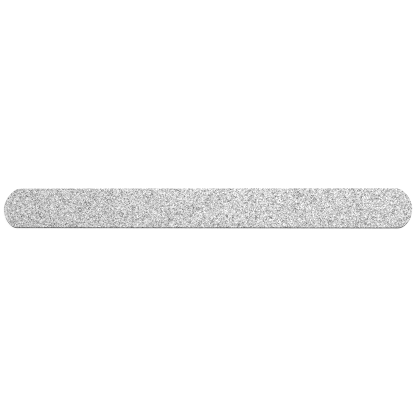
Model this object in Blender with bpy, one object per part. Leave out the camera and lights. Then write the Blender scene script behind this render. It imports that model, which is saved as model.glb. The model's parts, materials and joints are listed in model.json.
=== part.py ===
"""A straight foot file: a plastic strip with coarse abrasive paper glued to both faces, die-cut as one board.

The board lies flat. +X runs along it, +Y across it and +Z up through its layers. The origin is under the
board's centre, on the surface that it lies on. Every layer is its own solid, and the lower half is the
upper half turned over. Lengths are in metres.
"""

import math

import bmesh
import bpy

MM = 0.001

# The board's outline, seen from above
BOARD_LENGTH = 178 * MM
BOARD_WIDTH = 19 * MM
END_RADIUS_PAST_HALF_WIDTH = 1.7 * MM  # the ends are flatter than half circles
CORNER_RADIUS = 4.3 * MM  # where an end arc meets a straight edge
END_ARC_STEPS = 40
CORNER_ARC_STEPS = 12

# The layers, from the middle of the board outwards
CORE_THICKNESS = 0.46 * MM
GLUE_THICKNESS = 0.03 * MM
PAPER_THICKNESS = 0.13 * MM
RESIN_THICKNESS = 0.03 * MM
GRIT_THICKNESS = 0.16 * MM
BOND_GAP = 0.01 * MM  # what keeps two glued layers apart as solids

# The cut edge
CORE_EDGE_ROUND = 0.05 * MM  # the plastic's edges, eased by the die
GRIT_EDGE_ROUND = 0.05 * MM  # the abrasive's outer edge, which crumbles at the cut
GLUE_SETBACK = 0.06 * MM  # the glue stays this far inside the cut edge
EDGE_ROUND_STEPS = 2

# A wall of the outline turns less than this from step to step, so it shades as one curve
SMOOTH_ANGLE = math.radians(30)

# Colour, roughness and metallic value of each layer
FINISHES = {
    "core_plastic": ((0.28, 0.28, 0.285), 0.45, 0.0),
    "glue": ((0.62, 0.60, 0.52), 0.30, 0.0),
    "backing_paper": ((0.32, 0.32, 0.315), 0.90, 0.0),
    "resin": ((0.24, 0.24, 0.24), 0.60, 0.0),
    "grit": ((0.58, 0.58, 0.58), 0.75, 0.0),
}


def clear_scene():
    for obj in list(bpy.data.objects):
        bpy.data.objects.remove(obj)


def finish(name):
    """The named finish as a material, made once."""
    made = bpy.data.materials.get(name)
    if made:
        return made
    colour, roughness, metallic = FINISHES[name]
    made = bpy.data.materials.new(name)
    made.use_nodes = True
    shader = made.node_tree.nodes["Principled BSDF"]
    shader.inputs["Base Color"].default_value = (*colour, 1)
    shader.inputs["Roughness"].default_value = roughness
    shader.inputs["Metallic"].default_value = metallic
    return made


def arc(centre_x, centre_y, radius, start, end, steps):
    """Points along an arc, both ends included."""
    return [
        (
            centre_x + radius * math.cos(start + (end - start) * i / steps),
            centre_y + radius * math.sin(start + (end - start) * i / steps),
        )
        for i in range(steps + 1)
    ]


def board_outline(setback=0):
    """The board's outline, counter-clockwise, drawn this far inside the cut edge.

    Each end is one wide arc about a point on the centre line, and a small arc rounds it into each edge.
    """
    half_width = BOARD_WIDTH / 2 - setback
    end_radius = BOARD_WIDTH / 2 + END_RADIUS_PAST_HALF_WIDTH - setback
    corner_radius = CORNER_RADIUS - setback
    end_centre = BOARD_LENGTH / 2 - setback - end_radius

    # The corner's centre lies inside both the end arc and the straight edge by its own radius
    corner_y = half_width - corner_radius
    corner_x = end_centre + math.sqrt((end_radius - corner_radius) ** 2 - corner_y**2)
    meeting = math.atan2(corner_y, corner_x - end_centre)
    square = math.radians(90)

    lower = arc(corner_x, -corner_y, corner_radius, -square, -meeting, CORNER_ARC_STEPS)
    end = arc(end_centre, 0, end_radius, -meeting, meeting, END_ARC_STEPS)
    upper = arc(corner_x, corner_y, corner_radius, meeting, square, CORNER_ARC_STEPS)
    right = lower[:-1] + end + upper[1:]
    left = [(-x, -y) for x, y in right]
    return right + left


def rim_edges(face_list):
    return list({edge for face in face_list for edge in face.edges})


def layer_mesh(name, thickness, setback=0, top_round=0, bottom_round=0):
    """A sheet of the board's outline from z 0 to its thickness, with its rims rounded if asked."""
    bm = bmesh.new()
    bottom = bm.faces.new([bm.verts.new((x, y, 0)) for x, y in board_outline(setback)])
    raised = bmesh.ops.extrude_face_region(bm, geom=[bottom])["geom"]
    bmesh.ops.translate(
        bm,
        vec=(0, 0, thickness),
        verts=[item for item in raised if isinstance(item, bmesh.types.BMVert)],
    )
    bmesh.ops.recalc_face_normals(bm, faces=bm.faces)
    for facing, width in ((1, top_round), (-1, bottom_round)):
        if not width:
            continue
        outer = [f for f in bm.faces if f.normal.z * facing > math.cos(SMOOTH_ANGLE)]
        bmesh.ops.bevel(
            bm,
            geom=rim_edges(outer),
            offset=width,
            offset_type="OFFSET",
            segments=EDGE_ROUND_STEPS,
            profile=0.5,
            affect="EDGES",
            material=-1,
        )
    mesh = bpy.data.meshes.new(name)
    bm.to_mesh(mesh)
    bm.free()
    mesh.shade_smooth()
    mesh.set_sharp_from_angle(angle=SMOOTH_ANGLE)
    return mesh


def place_layer(name, mesh, material, board, height, turned_over=False):
    """Puts a layer on the board, its inner face at this height. A lower layer is turned over."""
    layer = bpy.data.objects.new(name, mesh)
    bpy.context.scene.collection.objects.link(layer)
    layer.parent = board
    layer.location.z = height
    if turned_over:
        layer.rotation_euler.x = math.radians(180)
    mesh.materials.append(material)
    return layer


def build_core(board):
    mesh = layer_mesh(
        "core_plate",
        CORE_THICKNESS,
        top_round=CORE_EDGE_ROUND,
        bottom_round=CORE_EDGE_ROUND,
    )
    place_layer("core_plate", mesh, finish("core_plastic"), board, -CORE_THICKNESS / 2)


def build_faces(board):
    """The layers over the core, the same on both sides, each laid on the one before."""
    stack = (
        ("glue_film", GLUE_THICKNESS, GLUE_SETBACK, 0, "glue"),
        ("backing_paper", PAPER_THICKNESS, 0, 0, "backing_paper"),
        ("resin_coat", RESIN_THICKNESS, 0, 0, "resin"),
        ("grit_layer", GRIT_THICKNESS, 0, GRIT_EDGE_ROUND, "grit"),
    )
    inner_face = CORE_THICKNESS / 2
    for name, thickness, setback, outer_round, material in stack:
        inner_face += BOND_GAP
        for side in ("top", "bottom"):
            node = f"{side}_{name}"
            mesh = layer_mesh(node, thickness, setback, top_round=outer_round)
            below = side == "bottom"
            height = -inner_face if below else inner_face
            place_layer(node, mesh, finish(material), board, height, turned_over=below)
        inner_face += thickness
    return inner_face


def main():
    clear_scene()
    board = bpy.data.objects.new("board_middle", None)
    bpy.context.scene.collection.objects.link(board)
    build_core(board)
    half_thickness = build_faces(board)
    board.location.z = half_thickness


main()
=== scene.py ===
"""The looks of a straight foot file: coarse grit on both faces, and the layers that show at its cut edge.

Lengths are in metres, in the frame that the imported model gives: +X along the board, +Y across it, +Z up.
"""

import json
import math
import random
from itertools import count, pairwise

import bmesh
import bpy
from mathutils import Matrix, Vector, noise

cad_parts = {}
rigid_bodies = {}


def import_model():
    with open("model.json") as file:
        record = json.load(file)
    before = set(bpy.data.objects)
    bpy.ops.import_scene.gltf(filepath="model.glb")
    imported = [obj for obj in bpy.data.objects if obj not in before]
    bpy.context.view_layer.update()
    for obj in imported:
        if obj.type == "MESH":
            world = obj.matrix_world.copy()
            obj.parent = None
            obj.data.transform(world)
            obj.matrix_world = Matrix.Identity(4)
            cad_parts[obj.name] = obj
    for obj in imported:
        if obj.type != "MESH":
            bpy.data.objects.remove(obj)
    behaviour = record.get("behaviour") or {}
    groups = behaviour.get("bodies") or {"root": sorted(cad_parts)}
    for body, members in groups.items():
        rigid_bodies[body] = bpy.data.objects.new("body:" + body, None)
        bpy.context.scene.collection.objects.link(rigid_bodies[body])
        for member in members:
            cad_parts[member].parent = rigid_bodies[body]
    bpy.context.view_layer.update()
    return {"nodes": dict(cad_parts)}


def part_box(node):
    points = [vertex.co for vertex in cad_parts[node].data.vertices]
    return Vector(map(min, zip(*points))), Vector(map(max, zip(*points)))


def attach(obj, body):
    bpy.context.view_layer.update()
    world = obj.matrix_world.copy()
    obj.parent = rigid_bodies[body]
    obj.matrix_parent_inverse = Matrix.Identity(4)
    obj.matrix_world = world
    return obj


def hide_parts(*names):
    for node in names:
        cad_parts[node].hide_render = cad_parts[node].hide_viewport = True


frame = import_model()

MM = 0.001

# The board's outline, as its layers have it: at each end a wide arc, and a small arc into each long edge
CORE_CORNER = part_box("core_plate")[1]
HALF_LENGTH = CORE_CORNER.x
HALF_WIDTH = CORE_CORNER.y
END_RADIUS_PAST_HALF_WIDTH = 1.7 * MM
END_RADIUS = HALF_WIDTH + END_RADIUS_PAST_HALF_WIDTH
END_CENTRE = HALF_LENGTH - END_RADIUS
CORNER_RADIUS = 4.3 * MM
CORNER_Y = HALF_WIDTH - CORNER_RADIUS
CORNER_X = END_CENTRE + math.sqrt((END_RADIUS - CORNER_RADIUS) ** 2 - CORNER_Y**2)
ARCS_MEET_Y = END_RADIUS * math.sin(math.atan2(CORNER_Y, CORNER_X - END_CENTRE))

# The upper grit layer, whose top is the board's. The lower layer is the same, turned over
GRIT_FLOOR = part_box("top_grit_layer")[0].z
BOARD_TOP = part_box("top_grit_layer")[1].z
BOARD_MIDDLE = BOARD_TOP / 2
GRIT_HEIGHT = BOARD_TOP - GRIT_FLOOR

# The kinds of grain, irregular chips that are about one unit wide and one high until they are strewn
GRAIN_KINDS = 40
GRAIN_FOOT_POINTS = (4, 5, 5)
GRAIN_FOOT_REACH_SHARES = (0.38, 0.58)
GRAIN_TOP_POINTS = (2, 3, 3)
GRAIN_TOP_REACH_SHARES = (0.10, 0.34)
GRAIN_TOP_HEIGHT_SHARES = (0.55, 1.0)
GRAIN_STRAY_SHARE = 0.3  # of the step from point to point, by which a point strays either way
KINDS_SEED = 11

# The tones of grain: name, grey level, and the share of the kinds that have it
GRAIN_TONES = (
    ("white_grain", 0.95, 0.325),
    ("pale_grain", 0.76, 0.225),
    ("grey_grain", 0.58, 0.125),
    ("slate_grain", 0.38, 0.15),
    ("dark_grain", 0.18, 0.15),
    ("black_grain", 0.05, 0.025),
)

# How the grains are strewn
GRAIN_SPACING = 0.23 * MM
GRAIN_WIDTH = 0.40 * MM
GRAIN_HEIGHT_SHARE = 0.82  # of the grit layer, before a grain's own size is drawn
GRAIN_SIZE_SHARES = (0.72, 1.22)
GRAIN_TILT = math.radians(14)
TRIES_PER_GRAIN = 9
CLUMP_SIZE = 0.55 * MM  # grains of like tone lie together in clumps of about this size
CLUMP_SHARE = 0.5  # of the grains take their clump's tone
STREWN_STEP = 1.0 * MM
GRAIN_OVERHANG = 0.05 * MM  # grains lie across the board's edge by this much, and the die cuts them through
CUT_WANDER = 0.02 * MM  # how far the die's cut through the grains strays inwards
TILES = 4

# The resin bed between the grains
BED_STEP = 0.36 * MM
BED_WAVE = 0.5 * MM
BED_HEIGHT_SHARES = (0.02, 0.14)  # of the grit layer, from the bed's hollows to its crests
BED_SETBACK = 0.015 * MM

# What sets the two faces apart: the seed of the grains, and the slice of the noise that waves the bed
FACES = (("top", 3, 0.0), ("bottom", 40, 7.0))

# A noise texture's values keep mostly to a short stretch: where it starts, and how often it fits into 1
NOISE_START = 0.36
NOISE_GAIN = 3.6

# The photograph's viewing angle
CAMERA_ELEVATION = math.radians(63.25)
CAMERA_YAW = math.radians(2.9)
CAMERA_DISTANCE = 560 * MM
CAMERA_AIM = Vector((0.67 * MM, -0.18 * MM, BOARD_TOP))
CAMERA_LENS = 111.33  # in millimetres, as the sensor is
CAMERA_SENSOR = 36.0
CAMERA_NEAR_LIMIT = 10 * MM
CAMERA_FAR_LIMIT = 20.0
PIXEL_FILTER = 1.05  # pixels

# The floor, and the glow that makes it white for the camera
FLOOR_SIZE = 4.0
FLOOR_TONE = 0.55
FLOOR_SHADOW_TONE = 0.07  # as the camera sees it, under the glow that makes it white
FLOOR_ROUGHNESS = 0.9
FLOOR_NEAR = 120 * MM  # from here out the glow grows, because the key light falls off
FLOOR_FAR = 500 * MM
FLOOR_NEAR_GLOW = 0.955
FLOOR_FAR_GLOW = 0.99

# The lights, with their power in watts, and the world
KEY_PLACE = (0.05, 0.14, 0.27)
KEY_SIZE = (0.16, 0.16)
KEY_POWER = 1.033
FILL_PLACE = (-0.2, -1.2, 0.9)
FILL_SIZE = (1.2, 0.8)
FILL_POWER = 0.6
WORLD_TONE = 1.0
WORLD_STRENGTH = 0.24


def between(share, low, high):
    """What lies this share of the way from low to high, for numbers and for sockets alike."""
    return low + (high - low) * share


def layered(fine, broad, broad_share):
    """A fine pattern over a broad one."""
    return (1 - broad_share) * fine + broad_share * broad


def clamped(value, low, high):
    return max(low, min(high, value))


def smooth_noise(place):
    """Noise from 0 to 1 that waves once or so over each unit of length."""
    return (1 + noise.noise(place)) / 2


def grey(level):
    return (level, level, level)


class Socket:
    """A node's output that can stand in a sum: arithmetic on it adds the Math nodes that work it out."""

    def __init__(self, graph, socket):
        self.graph = graph
        self.socket = socket

    def maths(self, operation, *others):
        return self.graph.node("ShaderNodeMath", {"operation": operation}, self, *others)

    def __add__(self, other):
        return self.maths("ADD", other)

    def __sub__(self, other):
        return self.maths("SUBTRACT", other)

    def __rsub__(self, other):
        return self.graph.node("ShaderNodeMath", {"operation": "SUBTRACT"}, other, self)

    def __mul__(self, other):
        return self.maths("MULTIPLY", other)

    def __gt__(self, other):
        return self.maths("GREATER_THAN", other)

    def __lt__(self, other):
        return self.maths("LESS_THAN", other)

    __radd__ = __add__
    __rmul__ = __mul__


class Graph:
    """A node tree, for a material, for the world or for geometry."""

    def __init__(self, tree):
        self.tree = tree

    def node(self, kind, settings=None, *values, output=0, **named):
        """Adds a node: its settings, then its inputs in order, then those given by name.

        Inputs and outputs that its settings put out of use don't count. Gives the output asked for, if any.
        """
        made = self.tree.nodes.new(kind)
        for name, value in (settings or {}).items():
            setattr(made, name, value)
        inputs = [socket for socket in made.inputs if socket.enabled]
        for socket, value in zip(inputs, values):
            self.feed(socket, value)
        self.feed_by_name(inputs, named)
        if isinstance(output, str):
            return Socket(self, made.outputs[output])
        outputs = [socket for socket in made.outputs if socket.enabled]
        return Socket(self, outputs[output]) if outputs else None

    def feed(self, socket, value):
        if isinstance(value, Socket):
            self.tree.links.new(value.socket, socket)
        else:
            socket.default_value = value

    def feed_by_name(self, sockets, named):
        """Feeds the sockets of these names, in which _ stands for a space."""
        for name, value in named.items():
            wanted = name.replace("_", " ")
            self.feed(next(socket for socket in sockets if socket.name == wanted), value)


class Finish(Graph):
    """A material with one Principled shader."""

    def __init__(self, name):
        self.material = bpy.data.materials.new(name)
        self.material.use_nodes = True
        super().__init__(self.material.node_tree)
        self.shader = self.tree.nodes["Principled BSDF"]

    def set(self, **named):
        """Sets the shader's inputs, each to a value or to a socket."""
        self.feed_by_name(self.shader.inputs, named)

    def here(self):
        """Object coordinates."""
        return self.node("ShaderNodeTexCoord", output="Object")

    def speckle(self, size, stretch=(1, 1, 1), detail=3.0, rough=0.6):
        """Noise from 0 to 1 with features of about this size, drawn out so many times along each axis."""
        scale = tuple(1 / times for times in stretch)
        place = self.node("ShaderNodeMapping", Vector=self.here(), Scale=scale)
        return self.node("ShaderNodeTexNoise", Vector=place, Scale=1 / size, Detail=detail, Roughness=rough)

    def widened(self, pattern):
        """Spreads a noise over the whole of 0 to 1. What passes these ends, a blend takes as the ends."""
        return (pattern - NOISE_START) * NOISE_GAIN

    def blend(self, share, low, high):
        """The colour that lies this share of the way from low to high."""
        return self.node(
            "ShaderNodeMix",
            {"data_type": "RGBA"},
            Factor=share,
            A=(*low, 1),
            B=(*high, 1),
            output="Result",
        )

    def bump(self, height, depth):
        self.set(Normal=self.node("ShaderNodeBump", Distance=depth, Height=height))


def grain_finish(name, level):
    """One tone of grit: hard chips with a slightly pitted break."""
    grain = Finish(name)
    pits = grain.speckle(size=0.06 * MM)
    grain.set(Base_Color=(*grey(level), 1))
    grain.set(Roughness=between(pits, low=0.38, high=0.78))
    grain.bump(pits, depth=0.012 * MM)
    return grain.material


def bed_finish():
    """The resin between the grains, grey with fine dust and dark pits."""
    bed = Finish("size_resin")
    dust = bed.speckle(size=0.22 * MM, detail=4)
    bed.set(Base_Color=bed.blend(dust, low=grey(0.20), high=grey(0.66)))
    bed.set(Roughness=between(dust, low=0.55, high=0.90))
    bed.bump(dust, depth=0.02 * MM)
    return bed.material


def core_finish():
    """Grey plastic with the upright marks that the die leaves on its cut edge."""
    plastic = Finish("core_plastic")
    marks = plastic.speckle(size=0.055 * MM, stretch=(1, 1, 22), detail=4, rough=0.65)
    clouds = plastic.speckle(size=1.6 * MM)
    tone = plastic.widened(layered(marks, clouds, broad_share=0.35))
    plastic.set(Base_Color=plastic.blend(tone, low=(0.15, 0.15, 0.154), high=(0.38, 0.38, 0.386)))
    plastic.set(Roughness=between(marks, low=0.30, high=0.75))
    plastic.bump(marks, depth=0.02 * MM)
    return plastic.material


def paper_finish():
    """Heavy grey backing paper: layered fibres that run along the sheet."""
    paper = Finish("backing_paper")
    fibres = paper.speckle(size=0.025 * MM, stretch=(9, 9, 1), detail=4, rough=0.65)
    clouds = paper.speckle(size=0.3 * MM)
    tone = paper.widened(layered(fibres, clouds, broad_share=0.3))
    paper.set(Base_Color=paper.blend(tone, low=(0.14, 0.14, 0.136), high=(0.45, 0.45, 0.437)))
    paper.set(Roughness=between(fibres, low=0.80, high=0.98))
    paper.bump(fibres, depth=0.02 * MM)
    return paper.material


def resin_finish():
    """The make coat: dull, slightly glassy resin that the grains stand in."""
    resin = Finish("make_resin")
    flow = resin.speckle(size=0.18 * MM)
    resin.set(Base_Color=resin.blend(resin.widened(flow), low=grey(0.12), high=grey(0.32)))
    resin.set(Roughness=between(flow, low=0.35, high=0.70))
    resin.bump(flow, depth=0.01 * MM)
    return resin.material


def glue_finish():
    """Clear yellowish adhesive, set a little inside the cut."""
    glue = Finish("glue")
    flow = glue.speckle(size=0.4 * MM)
    glue.set(Base_Color=glue.blend(glue.widened(flow), low=(0.50, 0.48, 0.40), high=(0.70, 0.68, 0.60)))
    glue.set(Roughness=between(flow, low=0.20, high=0.50))
    glue.bump(flow, depth=0.01 * MM)
    return glue.material


def half_length_at(y):
    """How far the outline reaches along X on the line across the board at this y."""
    across = min(abs(y), HALF_WIDTH)
    if across < ARCS_MEET_Y:
        return END_CENTRE + math.sqrt(END_RADIUS**2 - across**2)
    return CORNER_X + math.sqrt(max(0.0, CORNER_RADIUS**2 - (across - CORNER_Y) ** 2))


def cut_back(point, setback):
    """Brings a point of the upper grit back inside the die's cut, and between its layer's floor and top."""
    half_width = HALF_WIDTH - setback
    y = clamped(point.y, -half_width, half_width)
    half_length = half_length_at(y) - setback
    x = clamped(point.x, -half_length, half_length)
    return Vector((x, y, clamped(point.z, GRIT_FLOOR, BOARD_TOP)))


def piece(name, bm, *materials):
    """An object at the origin, with this mesh and these materials."""
    mesh = bpy.data.meshes.new(name)
    bm.to_mesh(mesh)
    bm.free()
    for material in materials:
        mesh.materials.append(material)
    made = bpy.data.objects.new(name, mesh)
    bpy.context.scene.collection.objects.link(made)
    return made


def face_piece(side, name, bm, *materials):
    """A piece of one face. Its mesh is made for the upper face, and turned over where it is the lower."""
    if side == "bottom":
        middle = Vector((0, 0, BOARD_MIDDLE))
        bmesh.ops.rotate(bm, cent=middle, matrix=Matrix.Rotation(math.pi, 3, "X"), verts=bm.verts)
    return piece(f"{side}_{name}", bm, *materials)


def board_sheet(step, setback):
    """A flat grid of the board's outline on the grit layer's floor, this far inside the cut."""
    bm = bmesh.new()
    bmesh.ops.create_grid(
        bm,
        x_segments=round(2 * HALF_LENGTH / step),
        y_segments=round(2 * HALF_WIDTH / step),
        size=1,
    )
    for vert in bm.verts:
        y = vert.co.y * (HALF_WIDTH - setback)
        vert.co = Vector((vert.co.x * (half_length_at(y) - setback), y, GRIT_FLOOR))
    return bm


def grit_bed(side, noise_slice, material):
    """The wavy resin that fills the grit layer between the grains, closed down to the make coat."""
    bm = board_sheet(BED_STEP, BED_SETBACK)
    for vert in bm.verts:
        wave = smooth_noise(Vector((vert.co.x / BED_WAVE, vert.co.y / BED_WAVE, noise_slice)))
        vert.co.z += GRIT_HEIGHT * between(wave, *BED_HEIGHT_SHARES)
    rim = [edge for edge in bm.edges if edge.is_boundary]
    walls = bmesh.ops.extrude_edge_only(bm, edges=rim)["geom"]
    for vert in (item for item in walls if isinstance(item, bmesh.types.BMVert)):
        vert.co.z = GRIT_FLOOR
    bmesh.ops.holes_fill(bm, edges=[edge for edge in bm.edges if edge.is_boundary])
    bmesh.ops.recalc_face_normals(bm, faces=bm.faces)
    return face_piece(side, "grit_bed", bm, material)


def add_ring(bm, draw, point_counts, reach_shares, height_shares=None):
    """Adds a ring of points to a grain, unevenly spaced, at its foot or each at a height of its own."""
    points = draw.choice(point_counts)
    turn = draw.uniform(0, math.tau)
    for i in range(points):
        stray = draw.uniform(-GRAIN_STRAY_SHARE, GRAIN_STRAY_SHARE)
        angle = turn + math.tau * (i + stray) / points
        reach = draw.uniform(*reach_shares)
        height = draw.uniform(*height_shares) if height_shares else 0
        bmesh.ops.create_vert(bm, co=(reach * math.cos(angle), reach * math.sin(angle), height))


def grain_kind(draw, material):
    """One kind of grain: a chip with flat breaks, a wide foot, and two or three points at its top."""
    bm = bmesh.new()
    add_ring(bm, draw, GRAIN_FOOT_POINTS, GRAIN_FOOT_REACH_SHARES)
    add_ring(bm, draw, GRAIN_TOP_POINTS, GRAIN_TOP_REACH_SHARES, GRAIN_TOP_HEIGHT_SHARES)
    hull = bmesh.ops.convex_hull(bm, input=bm.verts)
    bmesh.ops.delete(bm, geom=hull["geom_unused"] + hull["geom_interior"], context="VERTS")
    bmesh.ops.recalc_face_normals(bm, faces=bm.faces)
    return piece("grain_kind", bm, material)


def grain_kinds():
    """A collection of the kinds of grain, each tone with its share of them."""
    draw = random.Random(KINDS_SEED)
    kinds = bpy.data.collections.new("grain_kinds")
    for name, level, share in GRAIN_TONES:
        material = grain_finish(name, level)
        for _ in range(round(share * GRAIN_KINDS)):
            kind = grain_kind(draw, material)
            bpy.context.scene.collection.objects.unlink(kind)
            kinds.objects.link(kind)
    return kinds


def drawn(graph, seed, low, high):
    """A number between two, or a vector where these are vectors, drawn for each grain."""
    data_type = "FLOAT_VECTOR" if isinstance(low, tuple) else "FLOAT"
    return graph.node("FunctionNodeRandomValue", {"data_type": data_type}, Min=low, Max=high, Seed=seed)


def kind_of_grain(graph, place, kinds, seeds):
    """The number of each grain's kind: the one that its clump has, or one of its own."""
    clump = graph.node("ShaderNodeTexVoronoi", Vector=place, Scale=1 / CLUMP_SIZE, output="Color")
    of_clump = graph.node("ShaderNodeSeparateXYZ", Vector=clump, output="X")
    of_its_own = drawn(graph, next(seeds), 0.0, 1.0)
    in_clump = drawn(graph, next(seeds), 0.0, 1.0) < CLUMP_SHARE
    share = of_clump * in_clump + of_its_own * (1 - in_clump)
    return (share * len(kinds.objects)).maths("FLOOR")


def strewing(kinds, low_x, high_x, seed):
    """Geometry nodes that strew the grains over a face, and keep those with their middle between two x."""
    tree = bpy.data.node_groups.new("strewn_grit", "GeometryNodeTree")
    tree.interface.new_socket("Face", in_out="INPUT", socket_type="NodeSocketGeometry")
    tree.interface.new_socket("Grit", in_out="OUTPUT", socket_type="NodeSocketGeometry")
    graph = Graph(tree)
    seeds = count(seed)
    points = graph.node(
        "GeometryNodeDistributePointsOnFaces",
        {"distribute_method": "POISSON"},
        Mesh=graph.node("NodeGroupInput", output="Face"),
        Distance_Min=GRAIN_SPACING,
        Density_Max=TRIES_PER_GRAIN / GRAIN_SPACING**2,
        Seed=next(seeds),
    )
    turns = drawn(graph, next(seeds), (-GRAIN_TILT, -GRAIN_TILT, 0), (GRAIN_TILT, GRAIN_TILT, math.tau))
    widths = [GRAIN_WIDTH * share for share in GRAIN_SIZE_SHARES]
    heights = [GRIT_HEIGHT * GRAIN_HEIGHT_SHARE * share for share in GRAIN_SIZE_SHARES]
    smallest, largest = zip(widths, widths, heights)
    sizes = drawn(graph, next(seeds), smallest, largest)
    place = graph.node("GeometryNodeInputPosition")
    x = graph.node("ShaderNodeSeparateXYZ", Vector=place, output="X")
    strewn = graph.node(
        "GeometryNodeInstanceOnPoints",
        Points=points,
        Selection=(x > low_x) * (x < high_x),
        Instance=graph.node(
            "GeometryNodeCollectionInfo", Collection=kinds, Separate_Children=True, Reset_Children=True
        ),
        Pick_Instance=True,
        Instance_Index=kind_of_grain(graph, place, kinds, seeds),
        Rotation=turns,
        Scale=sizes,
    )
    graph.node("NodeGroupOutput", Grit=graph.node("GeometryNodeRealizeInstances", Geometry=strewn))
    return tree


def strewn_grains(kinds, low_x, high_x, seed):
    """A mesh of the grains on the upper face that have their middle between two x."""
    face = piece("grit_face", board_sheet(STREWN_STEP, -GRAIN_OVERHANG))
    modifier = face.modifiers.new("strew", "NODES")
    modifier.node_group = strewing(kinds, low_x, high_x, seed)
    evaluated = face.evaluated_get(bpy.context.evaluated_depsgraph_get())
    mesh = bpy.data.meshes.new_from_object(evaluated)
    bpy.data.objects.remove(face)
    return mesh


def grit_tile(side, number, grains):
    """One length of a face's grit, with the grains at the board's edge cut off flush by the die."""
    bm = bmesh.new()
    bm.from_mesh(grains)
    for vert in bm.verts:
        wander = CUT_WANDER * smooth_noise(vert.co / GRAIN_WIDTH)
        vert.co = cut_back(vert.co, wander)
    return face_piece(side, f"grit_{number}", bm, *grains.materials)


def grit_tiles(side, kinds, seed):
    """A face's grit in even lengths, from left to right. The outer two also take what lies past the ends."""
    length = 2 * HALF_LENGTH / TILES
    joins = [number * length - HALF_LENGTH for number in range(1, TILES)]
    past_the_ends = 2 * HALF_LENGTH
    limits = [-past_the_ends, *joins, past_the_ends]
    tiles = []
    for number, (low_x, high_x) in enumerate(pairwise(limits), start=1):
        grains = strewn_grains(kinds, low_x, high_x, seed)
        tiles.append(grit_tile(side, number, grains))
        bpy.data.meshes.remove(grains)
    return tiles


def build_grit():
    """On each face, a resin bed that stands for the grit layer's solid, and the tiles of grains in it."""
    kinds = grain_kinds()
    resin = bed_finish()
    for side, seed, noise_slice in FACES:
        layer = grit_bed(side, noise_slice, resin)
        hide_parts(f"{side}_grit_layer")
        for made in (layer, *grit_tiles(side, kinds, seed)):
            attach(made, "root")
    for kind in list(kinds.objects):
        bpy.data.objects.remove(kind)
    bpy.data.collections.remove(kinds)


def dress_layers():
    """The layers that show at the cut edge keep their CAD shape and get their finishes."""
    finishes = {
        "core_plate": core_finish(),
        "glue_film": glue_finish(),
        "backing_paper": paper_finish(),
        "resin_coat": resin_finish(),
    }
    for name, node in frame["nodes"].items():
        for layer, material in finishes.items():
            if name.endswith(layer):
                node.data.materials.clear()
                node.data.materials.append(material)


def shown_directly(graph):
    """1 for what the camera sees, itself or in a gloss or through glass, and 0 for light on the object."""
    by_camera = graph.node("ShaderNodeLightPath", output="Is Camera Ray")
    in_gloss = graph.node("ShaderNodeLightPath", output="Is Glossy Ray")
    through_glass = graph.node("ShaderNodeLightPath", output="Is Transmission Ray")
    return by_camera.maths("MAXIMUM", in_gloss).maths("MAXIMUM", through_glass)


def build_floor():
    """A plain pale floor. The camera sees it as white, with the board's soft shadow on it."""
    bm = bmesh.new()
    bmesh.ops.create_grid(bm, x_segments=1, y_segments=1, size=FLOOR_SIZE / 2)
    paint = Finish("floor_paint")
    seen = shown_directly(paint)
    from_middle = paint.node(
        "ShaderNodeVectorMath", {"operation": "LENGTH"}, Vector=paint.here(), output="Value"
    )
    far = paint.node("ShaderNodeMapRange", Value=from_middle, From_Min=FLOOR_NEAR, From_Max=FLOOR_FAR)
    glow = between(far, FLOOR_NEAR_GLOW, FLOOR_FAR_GLOW)
    paint.set(Base_Color=paint.blend(seen, grey(FLOOR_TONE), grey(FLOOR_SHADOW_TONE)))
    paint.set(Emission_Color=seen * glow, Emission_Strength=1)
    paint.set(Roughness=FLOOR_ROUGHNESS, Specular_IOR_Level=0)
    floor = piece("floor", bm, paint.material)


def area_light(name, place, size, power):
    """A soft light that faces the origin, under the board's middle."""
    data = bpy.data.lights.new(name, "AREA")
    data.shape = "RECTANGLE"
    data.size, data.size_y = size
    data.energy = power
    lamp = bpy.data.objects.new(name, data)
    bpy.context.scene.collection.objects.link(lamp)
    lamp.location = place
    lamp.rotation_euler = (-lamp.location).to_track_quat("-Z", "Y").to_euler()


def build_lights():
    """A key light behind the board, a weak fill in front, and a world that is white where it is seen."""
    area_light("key_light", KEY_PLACE, KEY_SIZE, KEY_POWER)
    area_light("front_fill", FILL_PLACE, FILL_SIZE, FILL_POWER)
    world = bpy.data.worlds.new("studio")
    bpy.context.scene.world = world
    world.use_nodes = True
    graph = Graph(world.node_tree)
    background = world.node_tree.nodes["Background"]
    strength = between(shown_directly(graph), WORLD_STRENGTH, 1)
    graph.feed_by_name(background.inputs, {"Color": (*grey(WORLD_TONE), 1), "Strength": strength})


def build_camera():
    data = bpy.data.cameras.new("camera")
    data.lens = CAMERA_LENS
    data.sensor_width = CAMERA_SENSOR
    data.clip_start = CAMERA_NEAR_LIMIT
    data.clip_end = CAMERA_FAR_LIMIT
    camera = bpy.data.objects.new("camera", data)
    bpy.context.scene.collection.objects.link(camera)
    flat = math.cos(CAMERA_ELEVATION) * math.cos(CAMERA_YAW)
    back = Vector((math.sin(CAMERA_YAW), -flat, math.sin(CAMERA_ELEVATION) * math.cos(CAMERA_YAW)))
    right = (Vector((1, 0, 0)) - back * back.x).normalized()
    camera.matrix_world = Matrix((right, back.cross(right), back)).transposed().to_4x4()
    camera.location = CAMERA_AIM + back * CAMERA_DISTANCE
    bpy.context.scene.camera = camera


def main():
    bpy.context.scene.view_settings.view_transform = "Standard"
    # The grit is as fine as a pixel: a denoiser would smooth it away, and a wider pixel filter blur it
    bpy.context.scene.cycles.use_denoising = False
    bpy.context.scene.cycles.filter_width = PIXEL_FILTER
    build_camera()
    build_lights()
    build_floor()
    dress_layers()
    build_grit()


main()
